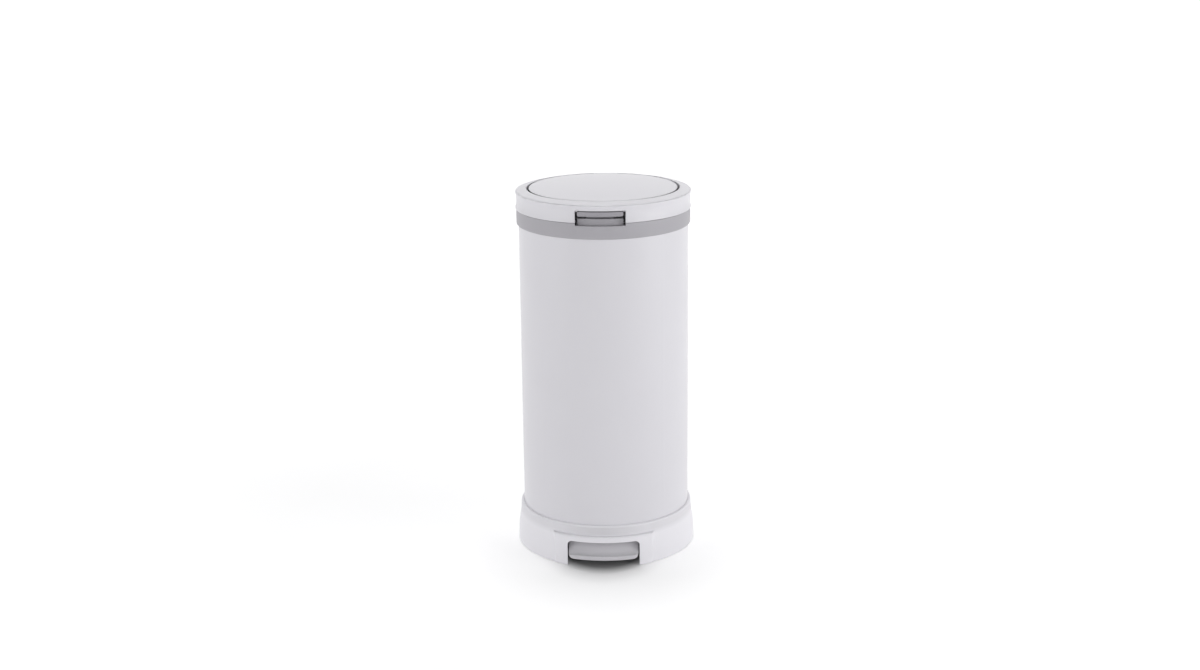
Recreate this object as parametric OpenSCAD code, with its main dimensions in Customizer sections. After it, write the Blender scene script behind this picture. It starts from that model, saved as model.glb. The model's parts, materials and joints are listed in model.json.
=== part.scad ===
// Pedal nappy bin: a white steel tube on a moulded base, with a tilting top ring and a round pedal lid.
// Millimetres. The origin is on the tube's axis at the floor, the front faces -Y, and +Z is up.

/* [Body tube] */
// Outer radius of the steel tube
tube_r = 144.5; // [130:0.5:165]
// Thickness of the tube's steel
tube_wall = 0.8; // [0.6:0.1:1.2]
// Height of the tube that shows between the base and the grey band
tube_visible = 497; // [350:1:600]

/* [Base] */
// Height of the base moulding
base_h = 72; // [68:1:80]
// How far the base's top edge stands out from the tube
base_collar = 5.2; // [4:0.1:8]
// How far the foot of the base stands out from its top edge
base_flare = 5.3; // [3:0.1:9]
// Height of the straight foot below the flare
foot_h = 14; // [10:1:20]
// Thickness of the base's walls
base_wall = 3; // [2.5:0.1:4]
// Thickness of the deck that closes the bag chamber
deck_t = 3; // [2.5:0.1:4]
// Depth that the tube stands in the base
tube_seat = 12; // [8:1:14]
// Height of the rubber feet below the base's rim
foot_proud = 0.8; // [0.5:0.1:1.5]
// Thickness of the stiffening ribs
rib_t = 2; // [1.5:0.1:3]
// Number of radial ribs under the deck
rib_count = 12; // [8:1:16]

/* [Pedal hood] */
// Flat width of the hood round the pedal
hood_w = 148; // [140:1:156]
// Width of each sloping side of the hood
hood_flank = 13; // [8:1:18]
// Height of the hood
hood_h = 55; // [52:1:57]
// How far the hood stands out from the foot
hood_proud = 2.5; // [1:0.1:4]
// Radius of the hood's upper edge
hood_edge = 3.5; // [2:0.1:5]
// Depth of the hood's room behind its front
hood_room_d = 39.5; // [36:0.5:44]
// Width of the pedal opening
notch_w = 123; // [110:1:130]
// Height of the pedal opening
notch_h = 45; // [42:1:48]
// Corner radius of the pedal opening
notch_corner = 8; // [4:0.5:12]

/* [Pedal] */
// Gap between the tread and each side of its opening
tread_gap = 2; // [1:0.1:4]
// How far the tread's lip stands out from the hood
tread_proud = 6; // [3:0.5:9]
// Height of the tread's lower edge over the floor
tread_low = 15.5; // [14.5:0.5:18]
// Height of the tread's front lip
lip_h = 7; // [5:0.5:9]
// Radius of the tread's lower corners
tread_corner = 9; // [5:0.5:12]
// Thickness of the tread's plastic
tread_t = 3; // [2.5:0.1:4]
// Distance of the pedal's shaft in front of the tube's axis
pivot_y = 67; // [62:1:75]
// Height of the pedal's shaft over the floor
pivot_z = 30; // [29:0.5:31]
// Radius of the pedal's shaft
shaft_r = 4; // [3:0.1:5]
// Width of the steel pedal lever
lever_w = 26; // [22:1:30]
// Height of the lever's side flanges
lever_h = 12; // [11:0.5:13]
// Thickness of the lever's steel
lever_t = 2; // [1.5:0.1:2.5]

/* [Band] */
// Height of the grey band
band_h = 26; // [24:1:32]
// How far the band stands out from the tube
band_proud = 3.5; // [3:0.1:5]
// Thickness of the band's walls
band_wall = 2.8; // [2.4:0.1:3.2]
// Depth that the band slips over the tube
band_lap = 9.2; // [8:0.2:10]
// How far the mouth of the bag chamber stands in from the tube
mouth_inset = 26.5; // [25.5:0.5:32]
// Thickness of the flange round the mouth
flange_t = 3; // [2.5:0.1:4]

/* [Top ring] */
// Height of the ring's skirt up to the top land
ring_h = 30.4; // [28:0.2:34]
// Rise of the land from the shoulder to the lid's groove
land_rise = 3; // [2:0.1:4]
// Thickness of the ring's walls
ring_wall = 2.6; // [2.2:0.1:3]
// How far the skirt's lower lip flares out
lip_flare = 1.6; // [0.5:0.1:2.5]
// How far the shoulder bead stands out
bead_flare = 1.3; // [0.5:0.1:2]
// Gap between the band and the ring
split_gap = 0.8; // [0.6:0.1:1.5]
// Width of the ring's land, from the skirt to the lid's groove
land_w = 18; // [17:0.5:20]
// Depth of the lid's seat below the groove's edge
seat_depth = 10.2; // [9.8:0.1:12]
// How far the throat stands in from the chamber's mouth
throat_inset = 5.5; // [5:0.5:10]
// Length of the throat funnel below the lid's seat
funnel_h = 39; // [25:1:41]
// How much the funnel narrows
funnel_taper = 5.5; // [2:0.5:10]
// Thickness of the funnel
funnel_t = 2.2; // [1.8:0.1:2.8]

/* [Lid] */
// Gap between the lid and the groove's outer wall
lid_gap = 3.8; // [3.7:0.1:4.5]
// Rise of the lid's dome
dome_rise = 9; // [6:0.5:14]
// Thickness of the lid's walls
lid_wall = 2.4; // [2:0.1:2.8]
// Height of the lid's edge
lid_edge_h = 4.5; // [3.5:0.1:4.8]
// Angle that the pedal opens the lid
lid_open = 78; // [60:1:80]
// Radius of the deodoriser's cup
cup_r = 34; // [25:1:45]
// Height of the deodoriser's cup
cup_h = 15; // [12:1:20]
// Length of the arm's plate under the dome
arm_reach = 34; // [30:1:40]
// Number of ribs under the lid's liner
liner_ribs = 12; // [8:1:16]
// Depth of those ribs
liner_rib_h = 3; // [2:0.2:4]

/* [Hinge and linkage] */
// Distance of the hinge pin behind the ring's skirt
hinge_back = 9; // [9:0.5:12]
// Height of the hinge pin over the band's top
hinge_up = 13; // [12.5:0.5:14]
// Radius of the hinge pin
hinge_pin_r = 2.5; // [2:0.1:3]
// Radius of the hinge knuckles
knuckle_r = 6.5; // [5.5:0.5:7]
// Width of the lid arm
arm_w = 38; // [36:1:38]
// Width of each knuckle on the ring and the band
knuckle_w = 10; // [8:0.5:12]
// Length of the crank that the push rod lifts
crank_r = 22; // [20:0.5:22]
// Radius of the crank's rounded end
crank_tip = 4; // [3.5:0.1:4.5]
// Radius of the push rod
rod_r = 3; // [2.5:0.1:3.2]
// Distance of the push rod from the outside of the tube
rod_inset = 8.5; // [8:0.5:10.5]
// Module of the damper's gears
gear_module = 0.8; // [0.7:0.05:0.8]
// Teeth on the damper's pinion
pinion_teeth = 12; // [12:1:13]
// Teeth that a whole gear of the lid arm's sector would have
sector_teeth = 44; // [44:1:45]
// Clearance of a pin that turns in its bore
pin_fit = 0.08; // [0.02:0.01:0.1]
// Gap between neighbouring parts that don't touch
gap = 0.5; // [0.3:0.1:0.8]

/* [Latch] */
// Width of the notch for the latch
latch_notch_w = 84.5; // [70:0.5:96]
// Height of that notch over the skirt's lower edge
latch_notch_h = 20.4; // [19:0.2:21]
// Gap between the latch tongue and each side of its notch
latch_side_gap = 5.75; // [4:0.25:8]
// Height of the tongue's lip
latch_lip_h = 7.5; // [6:0.5:8.5]
// Radius of the latch pin
latch_pin_r = 1.5; // [1.2:0.1:1.8]
// Depth that the latch's hook reaches under its catch
latch_bite = 1.6; // [1:0.1:1.8]
// Angle that the latch lifts
latch_swing = 8; // [6:1:8]

/* [Hidden] */
$fn = 180;
eps = 0.01;

// Heights of the main levels
z_tube = base_h - tube_seat;
z_deck = z_tube - deck_t;
z_band = base_h + tube_visible;
z_split = z_band + band_h;
z_skirt = z_split + split_gap;
z_land = z_skirt + ring_h;
z_rim = z_land + land_rise;
z_seat = z_rim - seat_depth;
z_hinge = z_split + hinge_up;
z_tube_top = z_band + band_lap - 0.2;
z_web = z_split - 4;
z_flange = z_web - 7;
z_groove_floor = z_seat - ring_wall;

// Radii of the main parts
base_top_r = tube_r + base_collar;
foot_r = base_top_r + base_flare;
hood_r = foot_r + hood_proud;
tread_r = hood_r + tread_proud;
tube_in = tube_r - tube_wall;
band_r = tube_r + band_proud;
ring_r = band_r;
groove_r = ring_r - land_w;
mouth_r = tube_r - mouth_inset;
throat_r = mouth_r - throat_inset;
rod_y = tube_r - rod_inset;
band_in = tube_in - 3.5;
rib_h = 14;
shelf_r = mouth_r - 2.6;
lid_r = groove_r - lid_gap;
hinge_y = ring_r + hinge_back;

// Small screws, all of one kind but for their length
screw_r = 1.3;
screw_fit = 0.05;
head_r = 3;
head_h = 1.6;
socket_r = 1.2;
screw_reach = 4.5;
funnel_grip = 2.6;

// The crank swings as far below the level as above it, so the push rod barely has to slide on it
crank_rest = lid_open / 2;
crank_y = hinge_y - crank_r * cos(crank_rest);
crank_z = z_hinge - crank_r * sin(crank_rest);
rod_travel = 2 * crank_r * sin(crank_rest);
pedal_swing = rod_travel / (rod_y + pivot_y) * 180 / PI;
cap_r = 4.5;
cap_top = crank_z - crank_tip - 0.65;
cap_h = 4;
lever_rest = pedal_swing / 2;
lever_top = pivot_z - (rod_y + pivot_y) * tan(lever_rest) + lever_h / 2 / cos(lever_rest);
rod_low = lever_top + 0.3;
guide_r = rod_r + 1.2;

// Damper gears: a sector on the lid arm turns a pinion on the ring
gear_distance = gear_module * (pinion_teeth + sector_teeth) / 2;
pinion_up = 6;
pinion_y = hinge_y - sqrt(gear_distance * gear_distance - pinion_up * pinion_up);
pinion_z = z_hinge + pinion_up;
pinion_angle = 180 - asin(pinion_up / gear_distance);
pressure_angle = 25;
backlash = 0.16;
sector_x = 10;
gear_w = 6;
damper_x = arm_w / 2 + 1.5;
damper_len = 12;
damper_r = 5;

// Places along the hinge pin
cut_half = arm_w / 2 + 1;
ring_knuckle_x = arm_w / 2 + 2;
band_knuckle_x = ring_knuckle_x + knuckle_w + 1;
pin_half = band_knuckle_x + knuckle_w + 1;

// Latch places: the tongue's lip fills its notch, and its hook bites under the band's catch
latch_half = latch_notch_w / 2 - latch_side_gap;
z_notch = z_skirt + latch_notch_h;
z_lip_top = z_notch - 1.9;
z_lip = z_lip_top - latch_lip_h;
latch_y = -(ring_r - 11.5);
latch_z = z_notch + 1.8;
catch_top = z_web + 13;
catch_out = ring_r - 9.2;
catch_back = ring_r - 24.5;
catch_nose = catch_back + 2.5 + 2;
hook_tip = catch_nose - latch_bite;
hook_y = catch_nose + gap;
hook_t = 2;
hook_half = 22;
foot_top = catch_top - 3 - 0.4;
foot_low = foot_top - 2.8;
bag_flange_r = catch_back - 0.6;

// Lid levels
lid_edge = z_rim - 0.4;
dome_r = (lid_r * lid_r + dome_rise * dome_rise) / (2 * dome_rise);
z_liner = z_seat + 2.5;
liner_t = 2;
z_plate = z_liner + liner_t + 0.5;
plate_t = 2.8;
gasket_in = throat_r + 2;
gasket_out = gasket_in + 6;
rim_low = z_seat + 1.3;
liner_r = gasket_out + 1.3;
liner_screw_r = (cup_r + gasket_in) / 2;
arm_screw_y = lid_r - arm_reach + 8;

// Solid of revolution over part of a turn, from angle a0 to a1
module turn(a0 = 0, a1 = 360) {
    if (a1 - a0 >= 360) rotate_extrude() children();
    else rotate([0, 0, a0]) rotate_extrude(angle = a1 - a0) children();
}

// Profile drawn as (y, z) and given a width along X
module across(x0, x1) {
    translate([x0, 0, 0]) rotate([90, 0, 90]) linear_extrude(x1 - x0) children();
}

module pin_x(r, x0, x1, y, z) {
    translate([x0, y, z]) rotate([0, 90, 0]) cylinder(h = x1 - x0, r = r);
}

module mirrored() {
    children();
    mirror([1, 0, 0]) children();
}

// Half-section inside the base's wall: a straight foot, then two equal arcs up to the collar
module flare_section(inset = 0) {
    rise = base_h - foot_h;
    arc_r = (rise * rise + base_flare * base_flare) / (4 * base_flare);
    mid_z = (foot_h + base_h) / 2;
    mid_r = (foot_r + base_top_r) / 2;
    translate([-inset, 0]) {
        translate([inset, foot_proud]) square([foot_r - inset, foot_h - foot_proud]);
        intersection() {
            translate([foot_r - arc_r, foot_h]) circle(arc_r);
            translate([inset, foot_h]) square([foot_r, mid_z - foot_h]);
        }
        difference() {
            translate([inset, mid_z]) square([mid_r - inset, base_h - mid_z]);
            translate([base_top_r + arc_r, base_h]) circle(arc_r);
        }
    }
}

// Plan of the hood round the pedal, with its sloping sides
module hood_plan(inset = 0) {
    half = hood_w / 2 - inset;
    intersection() {
        circle(hood_r - inset);
        polygon([[-half, -hood_r], [half, -hood_r], [half + hood_flank, -hood_r + 34],
                 [half + hood_flank, -foot_r / 2], [-half - hood_flank, -foot_r / 2],
                 [-half - hood_flank, -hood_r + 34]]);
    }
}

module hood(inset = 0, low = 0, high = 0) {
    intersection() {
        translate([0, 0, low]) linear_extrude(high - low) hood_plan(inset);
        rotate_extrude() {
            square([hood_r - hood_edge - inset, high]);
            square([hood_r - inset, high - hood_edge]);
            translate([hood_r - hood_edge - inset, high - hood_edge]) circle(hood_edge);
        }
    }
}

// Front view of an opening with rounded upper corners, from z0 to z1
module arch(w, z0, z1, r) {
    translate([-w / 2, z0]) square([w, z1 - r - z0]);
    translate([-w / 2 + r, z0]) square([w - 2 * r, z1 - z0]);
    for (s = [-1, 1]) translate([s * (w / 2 - r), z1 - r]) circle(r);
}

module base_shell() {
    bracket_x = lever_w / 2 + gap;
    color("white") difference() {
        union() {
            difference() {
                union() {
                    rotate_extrude() flare_section();
                    hood(0, foot_proud, hood_h);
                }
                // Room under the deck, inside the walls
                intersection() {
                    translate([0, 0, -1]) cylinder(h = z_deck + 1, r = hood_r + 1);
                    union() {
                        translate([0, 0, foot_proud - 1])
                            rotate_extrude() square([foot_r - base_wall - 6, 4.1]);
                        translate([0, 0, foot_proud + base_wall])
                            rotate_extrude() square([foot_r - base_wall, foot_h - base_wall - foot_proud]);
                        translate([0, 0, foot_h]) rotate_extrude()
                            square([base_top_r - base_wall, base_h]);
                    }
                }
                hood_room();
                // Seat of the tube
                translate([0, 0, z_tube]) cylinder(h = base_h, r = tube_r + 0.15);
            }
            deck_ribs();
            // Brackets of the pedal's shaft
            mirrored() across(bracket_x, bracket_x + base_wall)
                polygon([[-pivot_y - 14, z_deck + eps], [-pivot_y + 14, z_deck + eps],
                         [-pivot_y + 9, pivot_z - 7], [-pivot_y - 9, pivot_z - 7]]);
        }
        // Opening of the pedal
        translate([0, -foot_r * 0.7, 0]) rotate([90, 0, 0]) linear_extrude(foot_r)
            arch(notch_w, -1, notch_h, notch_corner);
        pin_x(shaft_r, -bracket_x - base_wall - 1, bracket_x + base_wall + 1, -pivot_y, pivot_z);
        translate([0, rod_y, z_deck - 1]) cylinder(h = deck_t + 2, r = guide_r);
        foot_seats();
    }
}

// Room inside the hood, which keeps the hood's wall as thick as the base's
module hood_room() {
    translate([0, 0, foot_proud + base_wall]) intersection() {
        linear_extrude(hood_h - foot_proud - 2 * base_wall) hood_plan(base_wall);
        translate([-foot_r, -foot_r - hood_proud, 0])
            cube([2 * foot_r, hood_room_d, hood_h]);
    }
}

// Radial ribs under the deck, clear of the lever's path and of the pedal's opening
module deck_ribs() {
    reach = base_top_r - base_wall + 0.1;
    for (i = [0:rib_count - 1]) {
        a = (i + 0.5) * 360 / rib_count;
        start = max(46, (lever_w / 2 + gap + rib_t) / max(abs(cos(a)), 0.1));
        if (start < reach - 30 && (sin(a) > 0 || abs(cos(a)) * foot_r > notch_w / 2 + 4))
            rotate([0, 0, a]) translate([start, -rib_t / 2, z_deck - rib_h])
                cube([reach - start, rib_t, rib_h + eps]);
    }
}

// Rubber feet stand in shallow seats under the base's rim
module foot_seats() {
    for (a = [20, 90, 160, 215, 325]) turn(a - 7, a + 7)
        translate([foot_r - base_wall - 4, 0]) square([5, foot_proud + base_wall / 2]);
}

module rubber_feet() {
    color("dimgray") foot_seats();
}

module steel_tube() {
    color("whitesmoke") difference() {
        translate([0, 0, z_tube]) cylinder(h = z_tube_top - z_tube, r = tube_r);
        translate([0, 0, z_tube - 1]) cylinder(h = z_tube_top - z_tube + 2, r = tube_in);
        band_screw_holes();
    }
}

// Half-section of the grey band, with its flange round the chamber's mouth
module band_section() {
    lap_top = z_band + band_lap;
    difference() {
        union() {
            translate([band_in, z_band - 6]) square([band_r - band_in, z_split - z_band + 6]);
            translate([mouth_r, z_flange - flange_t]) square([band_in - mouth_r + 1, flange_t]);
        }
        // Slot of the tube
        translate([tube_in - 0.15, z_band - 7]) square([tube_wall + 0.3, lap_top - z_band + 7]);
        translate([tube_r, z_band - 7]) square([band_proud + 1, 7]);
        // Lower edge, rounded
        difference() {
            translate([band_r - 2, z_band - 1]) square(3 + eps);
            translate([band_r - 2, z_band + 2]) circle(2);
            translate([band_r - 2 - eps, z_band + 2]) square(4);
        }
        // Groove of the gasket, and the step down to the flange
        translate([band_r - band_wall - 3, z_web]) square([3, 5]);
        translate([band_in - 1, z_flange]) square([1.2, 30]);
    }
}

module collar_band() {
    step_back = sqrt(pow(catch_out - 1.2, 2) - pow(latch_notch_w / 2, 2));
    color("darkgray") difference() {
        union() {
            difference() {
                rotate_extrude() band_section();
                // Front step under the latch, back to the pocket's front wall
                translate([-latch_notch_w / 2, -band_r - 1, z_web])
                    cube([latch_notch_w, band_r + 1 - step_back, 5]);
                // Rear slot of the crank and the gear sector
                translate([-cut_half, band_in - 6.8, z_flange])
                    cube([2 * cut_half, band_r, z_split - z_flange + 1]);
            }
            latch_catch();
            mirrored() across(band_knuckle_x, band_knuckle_x + knuckle_w) band_lug();
            // Boss of the rod guide
            translate([0, rod_y, z_flange - 11]) cylinder(h = 11, r = guide_r + 2);
        }
        pin_x(hinge_pin_r, -pin_half - 1, pin_half + 1, hinge_y, z_hinge);
        translate([0, rod_y, z_flange - 12]) cylinder(h = 14, r = guide_r);
        band_screw_holes();
        // The tube's edge stays clear where the guide's boss crosses its slot
        difference() {
            translate([0, 0, z_band - 7]) cylinder(h = band_lap + 7, r = tube_r + 0.15);
            translate([0, 0, z_band - 8]) cylinder(h = band_lap + 9, r = tube_in - 0.15);
        }
    }
}

// Side view of a lug that carries the hinge pin behind the band
module band_lug() {
    y0 = sqrt(pow(band_r, 2) - pow(band_knuckle_x + knuckle_w, 2)) - 1;
    polygon([[y0, z_band + 8], [y0, z_split - 0.4], [ring_r + 0.2, z_split - 0.4],
             [hinge_y - 5.9, z_hinge - 2.6], [hinge_y + 6.2, z_hinge - 1.8],
             [hinge_y + 2, z_split - 6], [ring_r + 1, z_band + 8]]);
    translate([hinge_y, z_hinge]) circle(knuckle_r);
}

// Catch of the latch: a pocket on the band's flange with a nose along its straight rear wall
module latch_catch() {
    half = asin((latch_notch_w / 2 - 1) / catch_out);
    turn(-90 - half, -90 + half)
        translate([catch_out - 2.5, z_flange - eps]) square([2.5, catch_top - z_flange]);
    mirrored() intersection() {
        translate([hook_half + 1.5, -catch_out, z_flange - eps])
            cube([2.5, catch_out - catch_back, catch_top - z_flange]);
        cylinder(h = z_land, r = catch_out - 1);
    }
    translate([-hook_half - 4, -catch_back - 2.5, z_flange - eps])
        cube([2 * hook_half + 8, 2.5, catch_top - z_flange]);
    translate([-hook_half - 2, -catch_nose, catch_top - 3])
        cube([2 * hook_half + 4, catch_nose - catch_back - 1, 3]);
}

// Rubber strip between the band and the ring, stopped at the latch and at the hinge
module collar_gasket() {
    front = asin((latch_notch_w / 2 + 3) / ring_r);
    rear = asin((band_knuckle_x + knuckle_w + 2) / ring_r);
    color("#333333") for (side = [[-90 + front, 90 - rear], [90 + rear, 270 - front]])
        turn(side[0], side[1]) {
            translate([band_r - band_wall - 2.9, z_web]) square([2.8, z_split - z_web - 0.9]);
            translate([band_r - band_wall - 1.5, z_split - 0.9]) circle(1.4, $fn = 40);
        }
}

// Loose ring that holds the bag's rim in the chamber's mouth
module bag_ring() {
    z_low = z_flange - 9;
    color("gainsboro") {
        rotate_extrude() {
            translate([shelf_r, z_low]) square([2.2, z_split - 4 - z_low]);
            translate([shelf_r, z_flange + 0.1]) square([bag_flange_r - shelf_r, 2.2]);
            translate([shelf_r + 1.6, z_split - 4]) circle(1.6, $fn = 40);
        }
        // Finger tabs at both sides
        for (a = [0, 180]) turn(a - 7, a + 7)
            translate([bag_flange_r - 2.6, z_flange + 1]) square([2.5, 9]);
    }
}

// Channel inside the tube that keeps the push rod clear of the bag
module rod_cover() {
    half = 11;
    front = rod_y - 7.5;
    color("gainsboro") translate([0, 0, z_tube + 0.1]) difference() {
        linear_extrude(z_flange - flange_t - z_tube - 0.2) intersection() {
            circle(band_in - 0.2);
            difference() {
                translate([-half, front]) square([2 * half, 30]);
                translate([-half + 1.8, front + 1.8]) square([2 * half - 3.6, 30]);
            }
        }
        // Relief round the upper guide's boss
        translate([0, rod_y, z_flange - 11.3 - z_tube - 0.1]) cylinder(h = 20, r = guide_r + 2.3);
    }
}

// Bushes that the push rod runs in, one in the deck and one in the band's flange
module rod_guides() {
    color("ivory") for (z = [z_deck - 3, z_flange - 10]) translate([0, rod_y, z]) difference() {
        union() {
            cylinder(h = z == z_deck - 3 ? deck_t + 3 : 10, r = guide_r);
            translate([0, 0, z == z_deck - 3 ? deck_t + 3 : 10]) cylinder(h = 1, r = guide_r + 0.9);
        }
        translate([0, 0, -1]) cylinder(h = 30, r = rod_r + pin_fit);
    }
}

module pedal_shaft() {
    half = lever_w / 2 + gap + base_wall + 3;
    color("silver") difference() {
        pin_x(shaft_r, -half, half, -pivot_y, pivot_z);
        // Grooves of the clips
        for (s = [-1, 1]) translate([s * (half - 2), -pivot_y, pivot_z]) rotate([0, 90, 0])
            difference() {
                cylinder(h = 1.2, r = shaft_r + 1, center = true);
                cylinder(h = 2, r = shaft_r - 0.7, center = true);
            }
    }
}

// Snap rings at both ends of the pedal's shaft
module shaft_clips() {
    half = lever_w / 2 + gap + base_wall + 3;
    color("dimgray") for (s = [-1, 1]) translate([s * (half - 2), -pivot_y, pivot_z]) rotate([0, 90, 0])
        difference() {
            cylinder(h = 1, r = shaft_r + 2, center = true);
            cylinder(h = 2, r = shaft_r - 0.7, center = true);
            translate([0, 0, -1]) rotate([0, 0, 60]) cube([12, 2.4, 2]);
        }
}

module hinge_pin() {
    color("silver") pin_x(hinge_pin_r, -pin_half, pin_half, hinge_y, z_hinge);
}

// Places inside the band where screws fasten it to the tube, pointing outwards
module band_screw_places() {
    for (a = [45:90:315]) rotate([0, 0, a]) translate([band_in, 0, z_band + 3]) rotate([0, 90, 0])
        children();
}

module band_screw_holes() {
    band_screw_places() translate([0, 0, -1])
        cylinder(h = tube_r - band_in + 2.3, r = screw_r + screw_fit);
}

module band_screws() {
    color("silver") band_screw_places() translate([0, 0, -head_h - 0.05]) screw(tube_r - band_in + 1.2);
}

// Screw along +Z with its head below: the shank reaches the given length past the head
module screw(reach) {
    difference() {
        union() {
            cylinder(h = head_h, r = head_r);
            cylinder(h = head_h + reach, r = screw_r);
        }
        translate([0, 0, -1]) cylinder(h = 1.9, r = socket_r, $fn = 6);
    }
}

module push_rod() {
    color("silver") translate([0, rod_y, rod_low]) {
        translate([0, 0, rod_r]) cylinder(h = cap_top - 1.5 - rod_low - rod_r, r = rod_r);
        translate([0, 0, rod_r]) sphere(rod_r);
    }
}

// Plastic cap that lifts the crank
module rod_cap() {
    color("ivory") translate([0, rod_y, cap_top - cap_h]) difference() {
        cylinder(h = cap_h, r = cap_r);
        translate([0, 0, -1]) cylinder(h = cap_h - 0.5, r = rod_r);
    }
}

// Pressed steel lever, drawn level and turned to its rest angle about the shaft
module pedal_lever() {
    front = tread_r - pivot_y - 24;
    rear = rod_y + pivot_y + 6;
    color("silver") translate([0, -pivot_y, pivot_z]) rotate([-lever_rest, 0, 0]) difference() {
        translate([-lever_w / 2, -front, -lever_h / 2]) cube([lever_w, front + rear, lever_h]);
        translate([-lever_w / 2 + lever_t, -front - 1, -lever_h / 2 - 1])
            cube([lever_w - 2 * lever_t, front + rear + 2, lever_h + 1 - lever_t]);
        pin_x(shaft_r + pin_fit, -lever_w, lever_w, 0, 0);
        // Flanges taper towards the rod's end
        across(-lever_w, lever_w) polygon([[20, -lever_h / 2 - eps], [rear + 1, -lever_h / 2 - eps],
                                           [rear + 1, lever_h / 2 - lever_t - 3]]);
        tread_screw_places() cylinder(h = lever_h, r = screw_r + screw_fit);
    }
}

// Places of the tread's screws under the lever's web, in the lever's own frame
module tread_screw_places() {
    for (x = [-6, 6]) translate([x, pivot_y + 26 - hood_r, lever_h / 2 - lever_t - head_h - 0.05])
        children();
}

// Half-section of the tread: a dished top face, a rounded front lip and the same wall behind
module tread_section() {
    top = tread_low + lip_h;
    back_r = hood_r - 20;
    dish = [for (t = [0:0.1:1]) [tread_r - 3 - (tread_r - 3 - back_r) * t,
                                 top + (hood_h - 6 - top) * (0.35 * t + 0.65 * t * t)]];
    under = [for (t = [1:-0.1:0]) [tread_r - 3.5 - (tread_r - 3.5 - back_r) * t,
                                   top - tread_t + (hood_h - 6 - top) * (0.35 * t + 0.65 * t * t)]];
    polygon(concat(dish, under));
    translate([tread_r - 3, tread_low]) square([3, lip_h - 3]);
    translate([tread_r - 3, top - 3]) circle(3);
    translate([tread_r - 3.5, tread_low]) square([1, lip_h - 1]);
}

module pedal_tread() {
    half = notch_w / 2 - tread_gap;
    seat_z = pivot_z + lever_h / 2;
    color("darkgray") intersection() {
        union() {
            turn(-90 - 26, -90 + 26) tread_section();
            // Side walls under the tread
            intersection() {
                turn(-90 - 26, -90 + 26) polygon([[tread_r - 1.5, tread_low], [tread_r - 1.5, tread_low + 4],
                    [tread_r - 12, tread_low + lip_h], [hood_r - 20, hood_h - 8],
                    [hood_r - 20, tread_low + 12], [hood_r - 14, tread_low]]);
                for (s = [-1, 1]) translate([s * (half - tread_t / 2) - tread_t / 2, -tread_r, 0])
                    cube([tread_t, 60, hood_h]);
            }
            difference() {
                tread_boss();
                translate([0, -pivot_y, pivot_z]) rotate([-lever_rest, 0, 0]) tread_screw_places()
                    cylinder(h = head_h + screw_reach + 0.1, r = screw_r + screw_fit);
            }
        }
        translate([0, -100, 0]) rotate([90, 0, 0]) linear_extrude(80) {
            translate([-half + tread_corner, tread_low]) square([2 * (half - tread_corner), hood_h]);
            translate([-half, tread_low + tread_corner]) square([2 * half, hood_h]);
            for (s = [-1, 1]) translate([s * (half - tread_corner), tread_low + tread_corner])
                circle(tread_corner);
        }
    }
}

// Pad under the dish that lies on the lever's front end
module tread_boss() {
    front = tread_r - 24;
    back = hood_r - 36;
    intersection() {
        translate([0, -pivot_y, pivot_z]) rotate([-lever_rest, 0, 0])
            translate([-lever_w / 2 - 6, -front + pivot_y - 8, lever_h / 2 + 0.05])
                cube([lever_w + 12, front - back + 8, 6]);
        turn(-90 - 26, -90 + 26) union() {
            translate([back, 0]) square([hood_r - 20 - back + 1, hood_h - 6]);
            polygon([for (t = [1:-0.1:0]) [tread_r - 3.5 - (tread_r - 3.5 - hood_r + 20) * t,
                     tread_low + lip_h - 1 + (hood_h - 6 - tread_low - lip_h) * (0.35 * t + 0.65 * t * t)],
                     [hood_r - 20, 0]]);
        }
    }
}

module tread_screws() {
    color("silver") translate([0, -pivot_y, pivot_z]) rotate([-lever_rest, 0, 0])
        tread_screw_places() screw(screw_reach);
}

// Half-section of the top ring: skirt, beaded shoulder, sloping land, groove wall and lid seat
module ring_section() {
    bead = ring_r + bead_flare;
    polygon([[ring_r, z_skirt + 5], [ring_r, z_land - 7], [bead, z_land - 4],
             [bead, z_land - 2.5], [bead - 1.2, z_land - 0.9], [bead - 4, z_land],
             [groove_r + 1.2, z_rim], [groove_r + 0.3, z_rim - 0.3], [groove_r, z_rim - 1.2],
             [groove_r, z_seat], [throat_r, z_seat], [throat_r, z_groove_floor],
             [groove_r + ring_wall, z_groove_floor], [groove_r + ring_wall, z_rim - ring_wall - 0.6],
             [bead - 5, z_land - ring_wall], [ring_r - ring_wall, z_land - ring_wall - 1.5],
             [ring_r - ring_wall, z_skirt + 2.6], [ring_r - 6.5, z_skirt + 2.2], [ring_r - 6.5, z_skirt],
             [ring_r + lip_flare - 0.6, z_skirt], [ring_r + lip_flare, z_skirt + 0.6],
             [ring_r + lip_flare, z_skirt + 1.8]]);
}

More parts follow.
